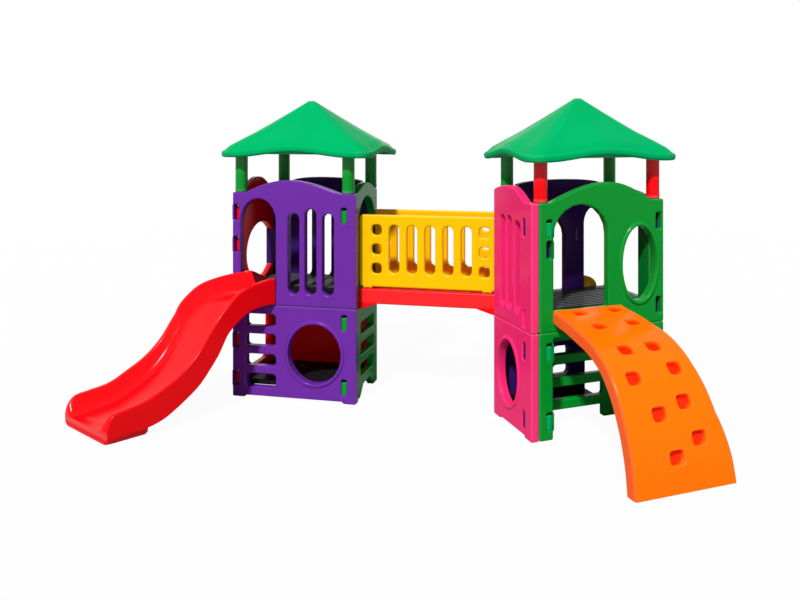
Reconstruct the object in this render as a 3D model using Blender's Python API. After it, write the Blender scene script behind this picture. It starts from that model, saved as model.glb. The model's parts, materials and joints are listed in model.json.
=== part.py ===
# Modular climbing frame: two roofed play towers, a railed bridge, a slide and a climbing ramp.
# Metres, +Z up. It is drawn from the front right corner of tower A, then moved to stand with
# the middle of its bounding box over the origin.
import math

import bmesh
import bpy
from mathutils import Matrix, Vector

# Clearances
touch_gap = 0.0003
key_clearance = 0.0015

# Both towers
tower_width = 1.186
tower_depth = 0.793
panel_thickness = 0.08
side_thickness = 0.07
seam_height = 0.848
shoulder_height = 1.87
foot_width = 0.115
foot_lift = 0.018
post_radius = 0.058
post_inset = 0.065
post_insets_a = {"front_left": 0.06, "front_right": 0.09, "back_left": 0.19, "back_right": 0.09}
shoulder_margin = 0.004
deck_top = 1.009
deck_thickness = 0.135
floor_thickness = 0.045
floor_level = 0.1
key_slot_width = 0.05
key_slot_height = 0.14
key_height = 0.115
key_corner = 0.008
key_recess = 0.008
key_deep_recess = 0.048
rim_width = 0.035
rim_height = 0.014

# Roof
roof_apex = 2.73
roof_overhang = 0.105
roof_lip = 0.066
roof_tip_height = 2.258
roof_eave_rise = 0.05
roof_wave_reach = 0.8
roof_sag = 0.08
roof_corner = 0.13
roof_wall = 0.022
roof_soffit_recess = 0.031
roof_soffit = roof_tip_height - roof_lip + roof_soffit_recess
roof_peak_share = 0.035
roof_a_stretch = 0.045

# Tower A
a_back_right_setback = 0.056
a_back_right = tower_width - a_back_right_setback
a_door_left = 0.081
a_door_right = 0.424
a_key_right_setback = 0.111
a_key_left_inset = 0.038
a_window_rear = 0.7

# Tower B
b_door_left = 0.15
b_door_right = 0.65
b_key_near_inset = 0.114
b_key_far_setback = 0.051
b_right_hump = 0.05
b_bay_left = 0.86
b_bay_right = 1.06
b_bay_top = 0.75

# Where tower B stands
tower_b_corner = (1.654, -0.494)
tower_b_turn = math.radians(33.1)
pink_overlap = 0.05

# Bridge
bridge_length = 1.233
bridge_front = 0.148
bridge_rail_spacing = 0.476
rail_thickness = 0.05
rail_top = 1.675
rail_corner = 0.03
rail_lift = 0.018
rail_foot = 0.08
rail_foot_inset = 0.04
rear_rail_extra = 0.45
rear_rail_shift = -0.059
bridge_deck_margin = 0.012
bridge_bracket_drop = 0.055
bridge_bracket_length = 0.17
bridge_landing = 0.57
bridge_bracket_setback = 0.35

# Slide
slide_turn = math.radians(32.2)
slide_start = -0.756
slide_width = 0.70
slide_rim = 0.045
slide_bed_depth = 0.13
slide_toe_bed = 0.085
slide_foot_length = 0.34
slide_foot_height = 0.08
slide_foot_setback = 0.05
slide_toe_reach = 0.055
slide_toe_round = 0.03
slide_toe_from = 1.22
slide_length = 1.56

# Climbing ramp
ramp_left = 0.143
ramp_width = 0.86
ramp_thickness = 0.1
# Right edge of the ramp in plan: across the tower's front, and out from it
ramp_right_edge = ((0.78, 0.0), (0.825, 0.48), (0.85, 0.8), (0.9, 1.0), (0.98, 1.12))
pocket_width = 0.11
pocket_height = 0.085
pocket_depth = 0.03
pocket_corner = 0.03

# Inner ladder of tower B
ladder_setback = 0.335
ladder_left = 0.06
ladder_right = 0.92
ladder_column = 0.13
ladder_clear = 0.11
ladder_first = 0.11
floor_end = 0.8

arc_steps = 10
colours = {
    "roof_green": (0.0, 0.53, 0.16),
    "green": (0.0, 0.28, 0.03),
    "dark_green": (0.0, 0.12, 0.02),
    "purple": (0.14, 0.022, 0.39),
    "dark_purple": (0.06, 0.012, 0.16),
    "pink": (1.0, 0.02, 0.24),
    "red": (0.87, 0.0, 0.005),
    "orange": (1.0, 0.16, 0.001),
    "yellow": (1.0, 0.55, 0.002),
    "charcoal": (0.045, 0.045, 0.05),
}


def clear_scene():
    for thing in list(bpy.data.objects):
        bpy.data.objects.remove(thing, do_unlink=True)


def plastic(name):
    """Rotomoulded polyethylene in one of the frame's colours."""
    found = bpy.data.materials.get(name)
    if found:
        return found
    made = bpy.data.materials.new(name)
    made.use_nodes = True
    surface = made.node_tree.nodes["Principled BSDF"]
    surface.inputs["Base Color"].default_value = (*colours[name], 1.0)
    surface.inputs["Roughness"].default_value = 0.4
    surface.inputs["Metallic"].default_value = 0.0
    made.diffuse_color = (*colours[name], 1.0)
    return made


def collection(name, hidden=False):
    made = bpy.data.collections.new(name)
    bpy.context.scene.collection.children.link(made)
    made.hide_render = hidden
    return made


clear_scene()
parts = collection("climbing_frame")
helpers = collection("helpers", hidden=True)


def empty(name, place, turn=0.0):
    made = bpy.data.objects.new(name, None)
    made.location = place
    made.rotation_euler = (0.0, 0.0, turn)
    parts.objects.link(made)
    return made


def new_object(name, shape, colour, parent, place=(0, 0, 0), rotation=(0, 0, 0)):
    mesh = bpy.data.meshes.new(name)
    bmesh.ops.remove_doubles(shape, verts=shape.verts, dist=1e-5)
    bmesh.ops.recalc_face_normals(shape, faces=shape.faces)
    for face in shape.faces:
        face.smooth = False
    shape.to_mesh(mesh)
    shape.free()
    made = bpy.data.objects.new(name, mesh)
    made.location = place
    made.rotation_euler = rotation
    made.parent = parent
    if colour:
        mesh.materials.append(plastic(colour))
        parts.objects.link(made)
    else:
        made.hide_render = True
        made.display_type = "WIRE"
        helpers.objects.link(made)
    return made


def boolean(target, cutter, operation="DIFFERENCE"):
    step = target.modifiers.new(cutter.name, "BOOLEAN")
    step.operation = operation
    step.solver = "EXACT"
    step.object = cutter


def arc(centre, across, up, start, stop, steps=arc_steps):
    """Points of an elliptical arc, from the start angle to the stop angle in degrees."""
    turns = [math.radians(start + (stop - start) * i / steps) for i in range(steps + 1)]
    return [(centre[0] + across * math.cos(t), centre[1] + up * math.sin(t)) for t in turns]


def ellipse(centre, across, up):
    return arc(centre, across, up, 0, 360, 3 * arc_steps)[:-1]


def rounded(left, right, bottom, top, radius, steps=3):
    """A rectangle with round corners."""
    radius = min(radius, (right - left) / 2 - touch_gap, (top - bottom) / 2 - touch_gap)
    corners = (
        (right - radius, bottom + radius, -90),
        (right - radius, top - radius, 0),
        (left + radius, top - radius, 90),
        (left + radius, bottom + radius, 180),
    )
    return [p for x, y, a in corners for p in arc((x, y), radius, radius, a, a + 90, steps)]


def arched(left, right, bottom, spring, crown):
    """A doorway with a half ellipse over it."""
    middle = ((left + right) / 2, spring)
    return [(left, bottom), (right, bottom)] + arc(middle, (right - left) / 2, crown - spring, 0, 180)


def key_slot(centre, bottom):
    half = key_slot_width / 2
    return rounded(centre - half, centre + half, bottom, bottom + key_slot_height, key_corner, 1)


def between(first, last, share):
    """A place part of the way from one edge to another."""
    return first + (last - first) * share


def hump(start, peak, stop, rise, cut=0.0, fullness=1.0):
    """The swelling top edge of a panel, from its right shoulder to its left one."""
    points = []
    for i in range(2 * arc_steps + 1):
        share = i / arc_steps
        if share <= 1:
            across = stop + (peak - stop) * share
            turn = cut + (1 - cut) * share
        else:
            across = peak + (start - peak) * (share - 1)
            turn = 2 - share
        swell = math.sin(math.pi / 2 * min(max(turn, 0.0), 1.0)) ** fullness
        points.append((across, shoulder_height + rise * swell))
    return points


def shoulder(inset=post_inset):
    """Where a panel's hump may start, clear of a roof post that stands this far in."""
    return inset + post_radius + shoulder_margin


def below_shoulder(drop):
    """A height in the upper panels, this far under the level where the humps start."""
    return shoulder_height - drop


def upper_outline(left, right, start, peak, stop, rise, cut=0.0, fullness=1.0):
    """An upper panel. Cut is the share of the hump's slope that is missing at its right end."""
    bottom = seam_height + touch_gap
    return (
        [(left, bottom), (right, bottom), (right, shoulder_height)]
        + hump(start, peak, stop, rise, cut, fullness)
        + [(left, shoulder_height)]
    )


def lower_outline(left, right, lift=foot_lift):
    """A lower panel: a foot at each end, and its bottom edge lifted between them."""
    return [
        (left, 0.0),
        (left + foot_width, 0.0),
        (left + foot_width + lift, lift),
        (right - foot_width - lift, lift),
        (right - foot_width, 0.0),
        (right, 0.0),
        (right, seam_height),
        (left, seam_height),
    ]


def plate_shape(outline, holes, thickness):
    """A flat outline with holes, filled and given a thickness about its own plane."""
    curve = bpy.data.curves.new("outline", "CURVE")
    curve.dimensions = "2D"
    curve.fill_mode = "BOTH"
    curve.extrude = thickness / 2
    for loop in [outline, *holes]:
        spline = curve.splines.new("POLY")
        spline.points.add(len(loop) - 1)
        for point, (x, y) in zip(spline.points, loop):
            point.co = (x, y, 0.0, 1.0)
        spline.use_cyclic_u = True
    sketch = bpy.data.objects.new("outline", curve)
    helpers.objects.link(sketch)
    mesh = bpy.data.meshes.new_from_object(sketch)
    shape = bmesh.new()
    shape.from_mesh(mesh)
    bpy.data.objects.remove(sketch)
    bpy.data.meshes.remove(mesh)
    return shape


def wall(name, outline, holes, colour, tower, at, thickness=panel_thickness, side=False):
    """A panel standing in a tower's wall. Across runs with the tower's front, or backwards for a side."""
    place = (at, 0, 0) if side else (0, at, 0)
    rotation = (math.pi / 2, 0, math.pi / 2 if side else 0)
    return new_object(name, plate_shape(outline, holes, thickness), colour, tower, place, rotation)


def raised_rim(panel, centre, across, up, thickness, outward):
    """A raised ring round a porthole, joined to the panel's outer face."""
    ring = plate_shape(
        ellipse(centre, across + rim_width, up + rim_width),
        [ellipse(centre, across, up)],
        rim_height + thickness / 2,
    )
    middle = outward * (thickness / 2 + rim_height - (rim_height + thickness / 2) / 2)
    bmesh.ops.translate(ring, verts=ring.verts, vec=(0, 0, middle))
    helper = new_object(
        panel.name + "_rim", ring, None, panel.parent, panel.location, panel.rotation_euler
    )
    boolean(panel, helper, "UNION")


def cylinder(name, radius, bottom, top, colour, parent, place):
    shape = bmesh.new()
    bmesh.ops.create_cone(
        shape,
        cap_ends=True,
        segments=16,
        radius1=radius,
        radius2=radius,
        depth=top - bottom,
        matrix=Matrix.Translation((0, 0, (top + bottom) / 2)),
    )
    return new_object(name, shape, colour, parent, place)


def slab(name, outline, bottom, top, colour, parent):
    """A flat plate lying down."""
    shape = plate_shape(outline, [], top - bottom)
    return new_object(name, shape, colour, parent, (0, 0, (top + bottom) / 2))


def loft(rings):
    """A closed solid through rings of equally many points, capped at both ends."""
    shape = bmesh.new()
    loops = [[shape.verts.new(point) for point in ring] for ring in rings]
    for first, second in zip(loops, loops[1:]):
        for i in range(len(first)):
            j = (i + 1) % len(first)
            shape.faces.new((first[i], first[j], second[j], second[i]))
    shape.faces.new(loops[0][::-1])
    shape.faces.new(loops[-1])
    return shape


def roof_height(share, along):
    """Height of the roof's top. Share runs from the apex to the eave, along from 0 to 1 on a side."""
    fall = share * (1 + roof_sag - roof_sag * share)
    wave = math.cos(math.pi / 2 * min(along / roof_wave_reach, 1.0)) ** 2
    return roof_apex - (roof_apex - roof_tip_height) * fall + roof_eave_rise * wave * share**1.5


def roof_ring(share, stretch, drop=0.0, level=None):
    """One ring of the roof, a rectangle with round corners whose eave waves along each side."""
    half = ((tower_width + stretch) / 2 + roof_overhang, tower_depth / 2 + roof_overhang)
    outline = []
    arcs = rounded(-half[0], half[0], -half[1], half[1], roof_corner, 3)
    steps = 10
    for first, second in zip(arcs, arcs[1:] + arcs[:1]):
        outline.append(first)
        if math.dist(first, second) > 2 * roof_corner:
            for i in range(1, steps):
                outline.append(tuple(between(a, b, i / steps) for a, b in zip(first, second)))
    ring = []
    for x, y in outline:
        along = min(abs(x) / half[0], abs(y) / half[1])
        height = roof_height(share, along) - drop if level is None else level
        ring.append((x * share, y * share, height))
    return ring


def roof(name, tower, stretch=0.0):
    """A pyramid with a deep lip and a flat soffit that the posts carry, hollow above the soffit."""
    outer = [roof_ring(share, stretch) for share in (roof_peak_share, 0.3, 0.6, 0.85, 1.0)]
    soffit_edge = 0.96
    soffit_inner = 0.7
    inner = [
        roof_ring(1.0, stretch, roof_lip),
        roof_ring(soffit_edge, stretch, roof_lip),
        roof_ring(soffit_edge, stretch, level=roof_soffit),
        roof_ring(soffit_inner, stretch, level=roof_soffit),
        roof_ring(soffit_inner - 0.02, stretch, 2 * roof_wall),
        roof_ring(0.3, stretch, 2 * roof_wall),
        roof_ring(roof_peak_share, stretch, 2 * roof_wall),
    ]
    centre = ((tower_width + stretch) / 2, tower_depth / 2, 0)
    return new_object(name, loft(outer + inner), "roof_green", tower, centre)


def posts(prefix, tower, spots, tints):
    """Four posts from the shoulders of the walls to the roof's soffit."""
    for corner, spot in spots.items():
        cylinder(
            f"{prefix}_post_{corner}",
            post_radius,
            shoulder_height + touch_gap,
            roof_soffit - touch_gap,
            tints.get(corner, "green"),
            tower,
            (*spot, 0),
        )


def inner_rectangle(front=panel_thickness + touch_gap):
    return rounded(
        panel_thickness + touch_gap + 0.014,
        tower_width - panel_thickness - 0.014,
        front,
        tower_depth - panel_thickness - touch_gap,
        touch_gap,
        1,
    )


def keys(prefix, tower, slots, colour, recess=key_recess):
    """The keys that lock a front wall at its corners, each seated at the bottom of its slot."""
    half = key_slot_width / 2 - key_clearance
    back = panel_thickness - key_recess
    for i, (centre, bottom) in enumerate(slots, 1):
        low = bottom + touch_gap
        outline = rounded(centre - half, centre + half, low, low + key_height, key_corner, 1)
        wall(f"{prefix}_{i}", outline, [], colour, tower, (recess + back) / 2, back - recess)


side_from = panel_thickness + touch_gap
side_to = tower_depth - panel_thickness - touch_gap
back_at = tower_depth - panel_thickness / 2
front_at = panel_thickness / 2
left_side_at = side_thickness / 2 + 0.013
right_side_at = tower_width - side_thickness / 2 - 0.02
side_hump = 0.12


def side_outline(start, rise):
    """The upper panel of a side, between the posts at its two ends."""
    rear = tower_depth - shoulder()
    return upper_outline(start, side_to, shoulder(), (shoulder() + rear) / 2, rear, rise)


def tower_a():
    tower = empty("tower_a", (-tower_width, 0, 0))
    right_keys_at, left_keys_at = tower_width - a_key_right_setback, a_key_left_inset
    field_end = right_keys_at - key_slot_width / 2
    upper_right, upper_left = [below_shoulder(0.265)], [below_shoulder(0.253), below_shoulder(0.546)]
    lower_right, lower_left = [0.65, 0.075], [0.448, 0.1]

    def slots(across, heights):
        return [(across, height) for height in heights]

    doorway = arched(a_door_left, a_door_right, deck_top, below_shoulder(0.27), below_shoulder(0.054))
    windows = []
    for first, last, drop in ((0.1869, 0.361, 0.183), (0.4473, 0.6214, 0.143), (0.7125, 0.8866, 0.18)):
        low, high = (between(a_door_right, field_end, share) for share in (first, last))
        windows.append(rounded(low, high, 0.957, below_shoulder(drop), (high - low) / 2, 4))
    upper_slots = slots(right_keys_at, upper_right) + slots(left_keys_at, upper_left)
    wall(
        "a_front_upper",
        upper_outline(
            0,
            tower_width,
            shoulder(post_insets_a["front_left"]),
            0.53,
            tower_width - shoulder(post_insets_a["front_right"]),
            0.115,
        ),
        [doorway, *windows, *[key_slot(*slot) for slot in upper_slots]],
        "purple",
        tower,
        front_at,
    )
    lower_slots = slots(right_keys_at, lower_right) + slots(left_keys_at, lower_left)
    steps = [rounded(0.135, a_door_right, low, high, 0.03) for low, high in
             ((0.101, 0.221), (0.292, 0.399), (0.474, 0.582), (0.654, 0.764))]
    middle = between(a_door_right, field_end, 0.5958)
    porthole = ((middle, 0.428), (field_end - a_door_right) * 0.3994, 0.268)
    front_lower = wall(
        "a_front_lower",
        lower_outline(0, tower_width),
        [ellipse(*porthole), *steps, *[key_slot(*slot) for slot in lower_slots]],
        "purple",
        tower,
        front_at,
    )
    raised_rim(front_lower, *porthole, panel_thickness, 1)
    keys("a_key_right", tower, slots(right_keys_at, upper_right + lower_right), "green")
    left_slots = slots(left_keys_at, upper_left + lower_left)
    keys("a_key_left", tower, left_slots, "red", key_deep_recess)

    back_windows = [rounded(left, left + 0.13, 0.996, below_shoulder(0.15), 0.06, 4)
                    for left in (0.355, 0.558, 0.76)]
    wall(
        "a_back_upper",
        upper_outline(
            0,
            a_back_right,
            shoulder(post_insets_a["back_left"]),
            0.6,
            tower_width - shoulder(post_insets_a["back_right"]),
            0.1,
            fullness=0.5,
        ),
        back_windows,
        "dark_purple",
        tower,
        back_at,
    )
    wall("a_back_lower", lower_outline(0, a_back_right), [], "red", tower, back_at)
    oval = ellipse((0.445, 1.275), 0.315, 0.275)
    wall(
        "a_left_upper",
        side_outline(side_from, side_hump),
        [[point for point in oval if point[0] < a_window_rear]],
        "red",
        tower,
        left_side_at,
        side_thickness,
        side=True,
    )
    wall(
        "a_left_lower",
        lower_outline(side_from, side_to),
        [rounded(0.17, 0.66, 0.2, 0.79, 0.09)],
        "red",
        tower,
        left_side_at,
        side_thickness,
        side=True,
    )
    bridge_doorway = arched(0.165, 0.615, deck_top, below_shoulder(0.27), below_shoulder(0.05))
    wall(
        "a_right_upper",
        side_outline(side_from, 0.08),
        [bridge_doorway],
        "green",
        tower,
        right_side_at,
        side_thickness,
        side=True,
    )
    rungs = [rounded(0.21, 0.6, low, low + ladder_clear, 0.02, 2) for low in (0.19, 0.38, 0.57)]
    wall(
        "a_right_lower",
        lower_outline(side_from, side_to, 0.1),
        rungs,
        "green",
        tower,
        right_side_at,
        side_thickness,
        side=True,
    )
    slab("a_deck", inner_rectangle(), deck_top - deck_thickness, deck_top, "charcoal", tower)
    slab("a_floor", inner_rectangle(), floor_level, floor_level + floor_thickness, "charcoal", tower)
    rear = tower_depth - post_inset
    insets = post_insets_a
    spots = {
        "front_left": (insets["front_left"], post_inset),
        "front_right": (tower_width - insets["front_right"], post_inset),
        "back_left": (insets["back_left"], rear),
        "back_right": (tower_width - insets["back_right"], rear),
    }
    posts("a", tower, spots, {})
    roof("a_roof", tower, roof_a_stretch)


def tower_b():
    tower = empty("tower_b", (*tower_b_corner, 0), tower_b_turn)
    front_left = side_thickness - pink_overlap + 2 * key_clearance
    back_left_shift = 0.02
    near_keys_at, far_keys_at = b_key_near_inset, tower_width - b_key_far_setback
    doorway = arched(b_door_left, b_door_right, deck_top, below_shoulder(0.27), below_shoulder(0.021))
    field_end = far_keys_at - key_slot_width / 2
    middle = between(b_door_right, field_end, 0.6435)
    window = ((middle, 1.345), (field_end - b_door_right) * 0.3587, 0.31)
    near_slots = [(near_keys_at, below_shoulder(0.273)), (near_keys_at, below_shoulder(0.44))]
    far_slots = [(far_keys_at, below_shoulder(0.253)), (far_keys_at, 0.917)]
    front_upper = wall(
        "b_front_upper",
        upper_outline(front_left, tower_width, shoulder(), 0.663, tower_width - shoulder(), 0.152),
        [doorway, ellipse(*window), *[key_slot(*slot) for slot in near_slots + far_slots]],
        "green",
        tower,
        front_at,
    )
    raised_rim(front_upper, window[0], window[1], window[2], panel_thickness, 1)
    low_slots = [(near_keys_at, 0.622), (near_keys_at, 0.078)]
    band = 0.8
    front_lower = [
        (front_left, 0.0),
        (0.146, 0.0),
        (0.146, band),
        (tower_width - 0.15, band),
        (tower_width - 0.15, 0.0),
        (tower_width, 0.0),
        (tower_width, seam_height),
        (front_left, seam_height),
    ]
    wall(
        "b_front_lower", front_lower, [key_slot(*slot) for slot in low_slots], "green", tower, front_at
    )
    keys("b_key_near", tower, near_slots[:1] + low_slots, "roof_green")

    pink_at = side_thickness / 2 - pink_overlap
    slits = [
        rounded(0.206, 0.304, 0.965, below_shoulder(0.16), 0.049, 4),
        rounded(0.362, 0.450, 0.965, below_shoulder(0.13), 0.044, 4),
        rounded(0.486, 0.576, 0.965, below_shoulder(0.135), 0.045, 4),
    ]
    pink_slots = [(0.135, below_shoulder(0.27)), (0.135, 0.87)]
    wall(
        "b_left_upper",
        upper_outline(0, side_to, shoulder(), 0.42, side_to, 0.115, 0.39),
        [*slits, *[key_slot(*slot) for slot in pink_slots]],
        "pink",
        tower,
        pink_at,
        side_thickness,
        side=True,
    )
    porthole = ((0.42, 0.437), 0.19, 0.268)
    pink_low_slots = [(0.135, 0.615), (0.14, 0.07)]
    left_lower = wall(
        "b_left_lower",
        lower_outline(0, side_to),
        [ellipse(*porthole), *[key_slot(*slot) for slot in pink_low_slots]],
        "pink",
        tower,
        pink_at,
        side_thickness,
        side=True,
    )
    raised_rim(left_lower, *porthole, side_thickness, -1)

    bridge_doorway = arched(0.13, 0.657, deck_top, below_shoulder(0.37), below_shoulder(0.17))
    high_opening = arched(0.85, 1.10, deck_top, below_shoulder(0.27), below_shoulder(0.12))
    pillar_slit = rounded(0.770, 0.796, below_shoulder(0.42), below_shoulder(0.32), 0.01, 1)
    wall(
        "b_back_upper",
        upper_outline(
            front_left,
            tower_width,
            shoulder(post_inset + back_left_shift),
            0.6,
            tower_width - shoulder(),
            0.13,
            fullness=0.4,
        ),
        [bridge_doorway, high_opening, pillar_slit],
        "dark_purple",
        tower,
        back_at,
    )
    back_openings = [
        rounded(0.53, 0.693, 0.397, 0.513, 0.045),
        rounded(0.53, 0.693, 0.257, 0.345, 0.035),
    ]
    back_lower = [
        (front_left, 0.0),
        (b_bay_left, 0.0),
        (b_bay_left, b_bay_top),
        (b_bay_right, b_bay_top),
        (b_bay_right, 0.0),
        (tower_width, 0.0),
        (tower_width, seam_height),
        (front_left, seam_height),
    ]
    wall(
        "b_back_lower",
        back_lower,
        back_openings,
        "dark_purple",
        tower,
        back_at,
    )
    guard_bottom = 0.93
    sill = [(0.71, guard_bottom), (1.03, guard_bottom), *arc((0.87, deck_top), 0.16, 0.1, 0, 180)]
    sill_at = tower_depth + touch_gap + rail_thickness / 2
    wall("b_back_guard", sill, [], "yellow", tower, sill_at, rail_thickness)

    wall(
        "b_right_upper",
        side_outline(side_from, b_right_hump),
        [
            arched(0.25, 0.61, deck_top, below_shoulder(0.27), below_shoulder(0.05)),
            rounded(0.128, 0.15, below_shoulder(0.39), below_shoulder(0.31), 0.01, 1),
        ],
        "dark_green",
        tower,
        right_side_at,
        side_thickness,
        side=True,
    )
    rungs = [rounded(0.21, 0.6, low, low + ladder_clear, 0.02, 2) for low in (0.19, 0.38, 0.57)]
    wall(
        "b_right_lower",
        lower_outline(side_from, side_to, 0.1),
        rungs,
        "dark_green",
        tower,
        right_side_at,
        side_thickness,
        side=True,
    )
    inner_ladder(tower)
    slab("b_deck", inner_rectangle(), deck_top - deck_thickness, deck_top, "charcoal", tower)
    b_floor(tower)
    rear = tower_depth - post_inset
    far = tower_width - post_inset
    spots = {
        "front_left": (post_inset, post_inset),
        "front_right": (far, post_inset),
        "back_left": (post_inset + back_left_shift, rear),
        "back_right": (far, rear),
    }
    posts("b", tower, spots, {"front_left": "red", "front_right": "red"})
    roof("b_roof", tower)
    return tower


def inner_ladder(tower):
    """The ladder that stands under tower B's deck, between the columns at its ends."""
    top = deck_top - deck_thickness - touch_gap
    pitch = 0.19
    rung = pitch - ladder_clear
    left, right = ladder_left + ladder_column, ladder_right - ladder_column
    outline = [
        (ladder_left, 0.0),
        (left, 0.0),
        (left, ladder_first),
        (right, ladder_first),
        (right, 0.0),
        (ladder_right, 0.0),
        (ladder_right, top),
        (ladder_left, top),
    ]
    gaps = []
    for i in range(3):
        low = ladder_first + rung + i * pitch
        gaps.append(rounded(left, right, low, low + ladder_clear, 0.02, 2))
    wall("b_inner_ladder", outline, gaps, "green", tower, ladder_setback, side_thickness)


def b_floor(tower):
    """The floor lies only behind the ladder, and ends before the open bay at the back."""
    floor = inner_rectangle(ladder_setback + side_thickness / 2 + touch_gap)
    floor = [(min(x, floor_end), y) for x, y in floor]
    slab("b_floor", floor, floor_level, floor_level + floor_thickness, "charcoal", tower)


def bridge_rail(name, back_face, length, shift=0.0):
    """A yellow rail plate with five tall slots between rows of square holes."""
    left = -0.02 + touch_gap
    bottom = deck_top + touch_gap
    low = bottom + rail_lift
    outline = rounded(left, length, low, rail_top, rail_corner)
    for start in (left + rail_foot_inset, length - rail_foot_inset - rail_foot):
        stop = start + rail_foot
        outline += [(start, low), (start, bottom), (stop, bottom), (stop, low)]
    hole = 0.094
    rows = (1.145, 1.318, 1.492)
    hole_columns = (0.098 + shift, bridge_length - 0.151 + shift)
    first_slot = 0.262 + shift
    holes = [rounded(x, x + hole, y, y + hole, 0.03, 2) for x in hole_columns for y in rows]
    slot_pitch = 0.165
    slots = []
    for i in range(5):
        low = first_slot + i * slot_pitch
        slots.append(rounded(low, low + hole, 1.15, 1.587, 0.045))
    shape = plate_shape(outline, holes + slots, rail_thickness)
    place = (0, back_face, 0)
    return new_object(name, shape, "yellow", None, place, (math.pi / 2, 0, 0))


def on_tower_b(across, back):
    """A plan point of tower B's own frame, in the world."""
    turned = Matrix.Rotation(tower_b_turn, 2) @ Vector((across, back))
    return turned + Vector(tower_b_corner)


def bridge():
    """The red deck ends square at tower A, and along the back wall of tower B."""
    near = bridge_front - bridge_deck_margin
    far = bridge_front + bridge_rail_spacing + rail_thickness + bridge_deck_margin
    left = -0.02 + touch_gap
    landing = tower_depth + touch_gap
    first = on_tower_b(0.0, landing)
    last = on_tower_b(bridge_landing, landing)
    outline = [
        (left, near),
        (bridge_length, near),
        tuple(first),
        tuple(last),
        (last.x - 0.02, far),
        (left, far),
    ]
    deck = slab("bridge_deck", outline, deck_top - deck_thickness, deck_top, "red", None)
    low = deck_top - deck_thickness - bridge_bracket_drop
    bracket_depth = far - near - bridge_bracket_setback
    for name, root, tip in (
        ("bridge_bracket_a", left, left + bridge_bracket_length),
        ("bridge_bracket_b", bridge_length, bridge_length - bridge_bracket_length),
    ):
        top = deck_top - deck_thickness + 0.03
        wedge = [(root, low), (root, top), (tip, top), (tip, top - 0.03)]
        shape = plate_shape(wedge, [], bracket_depth)
        place = (0, near + bracket_depth / 2, 0)
        helper = new_object(name, shape, None, None, place, (math.pi / 2, 0, 0))
        boolean(deck, helper, "UNION")
    bridge_rail("bridge_rail_front", bridge_front + rail_thickness / 2, bridge_length)
    rear = bridge_front + bridge_rail_spacing + rail_thickness / 2
    bridge_rail("bridge_rail_back", rear, bridge_length + rear_rail_extra, rear_rail_shift)


# Plan distance from the tower, near rim height, far rim height, underside
slide_stations = (
    (0.00, 1.10, 1.155, 0.862),
    (0.13, 1.085, 1.13, 0.86),
    (0.27, 1.06, 1.08, 0.835),
    (0.38, 1.01, 1.02, 0.765),
    (0.48, 0.925, 0.93, 0.675),
    (0.57, 0.83, 0.84, 0.52),
    (0.66, 0.71, 0.72, 0.40),
    (0.76, 0.57, 0.58, 0.29),
    (0.90, 0.44, 0.45, 0.19),
    (1.06, 0.35, 0.36, 0.10),
    (1.22, 0.285, 0.285, 0.06),
    (1.40, 0.255, 0.255, 0.055),
    (1.50, 0.225, 0.225, 0.055),
    (slide_length, 0.135, 0.135, 0.055),
)


def slide_far_point(along):
    """The far rim in plan: it runs out along the tower's front, then keeps the slide's width."""
    heading = Vector((-math.sin(slide_turn), -math.cos(slide_turn)))
    aside = Vector((-math.cos(slide_turn), math.sin(slide_turn)))
    start = Vector((slide_start, 0))
    flare_end = 0.5
    straight = start + heading * max(along, flare_end) + aside * slide_width
    if along >= flare_end:
        return straight
    share = along / flare_end
    doorway = Vector((-1.03, -touch_gap * 10))
    corner = Vector((-1.40, -0.06))
    return doorway * (1 - share) ** 2 + corner * (2 * share * (1 - share)) + straight * share**2


def slide_section(along, near_rim, far_rim, low):
    """One closed section: outer walls, rounded rims and a bed that is lower than the rims."""
    heading = Vector((-math.sin(slide_turn), -math.cos(slide_turn)))
    near = Vector((slide_start, 0)) + heading * along
    reach = max(0.0, (along - slide_toe_from) / (slide_length - slide_toe_from))
    far = slide_far_point(along + slide_toe_reach * reach)
    span = far - near
    width = span.length
    bed = max(near_rim - slide_bed_depth, slide_toe_bed)
    profile = (
        (0.0, low),
        (0.0, near_rim - 0.02),
        (0.3 * slide_rim, near_rim),
        (slide_rim, near_rim - 0.004),
        (slide_rim + 0.035, bed + 0.035),
        (slide_rim + 0.09, bed),
        (width - slide_rim - 0.09, bed),
        (width - slide_rim - 0.035, bed + 0.035),
        (width - slide_rim, far_rim - 0.004),
        (width - 0.3 * slide_rim, far_rim),
        (width, far_rim - 0.02),
        (width, low),
    )
    direction = span / width
    section = []
    for across, height in profile:
        back = slide_toe_round * reach * abs(2 * across / width - 1) ** 3
        section.append((*(near + direction * across - heading * back), height))
    return section


def slide():
    shape = loft([slide_section(*station) for station in slide_stations])
    bmesh.ops.translate(shape, verts=shape.verts, vec=(0, -touch_gap, 0))
    body = new_object("slide", shape, "red", None)
    foot = bmesh.new()
    heading = Vector((-math.sin(slide_turn), -math.cos(slide_turn)))
    aside = Vector((-math.cos(slide_turn), math.sin(slide_turn)))
    reach = slide_length - slide_foot_setback - slide_foot_length / 2
    centre = Vector((slide_start, 0)) + heading * reach + aside * slide_width / 2
    size = Matrix.Diagonal((slide_width - 0.04, slide_foot_length, slide_foot_height, 1))
    spot = Matrix.Translation((*centre, slide_foot_height / 2)) @ Matrix.Rotation(-slide_turn, 4, "Z")
    bmesh.ops.create_cube(foot, size=1, matrix=spot @ size)
    boolean(body, new_object("slide_foot", foot, None, None), "UNION")


# Side view of the ramp's climbing face: distance out from tower B's front, and height
ramp_face = (
    (0.0, 1.02),
    (0.08, 1.005),
    (0.22, 0.985),
    (0.38, 0.95),
    (0.53, 0.915),
    (0.66, 0.86),
    (0.79, 0.77),
    (0.91, 0.625),
    (1.0, 0.46),
    (1.055, 0.32),
    (1.095, 0.17),
    (1.12, 0.0),
)
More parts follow.
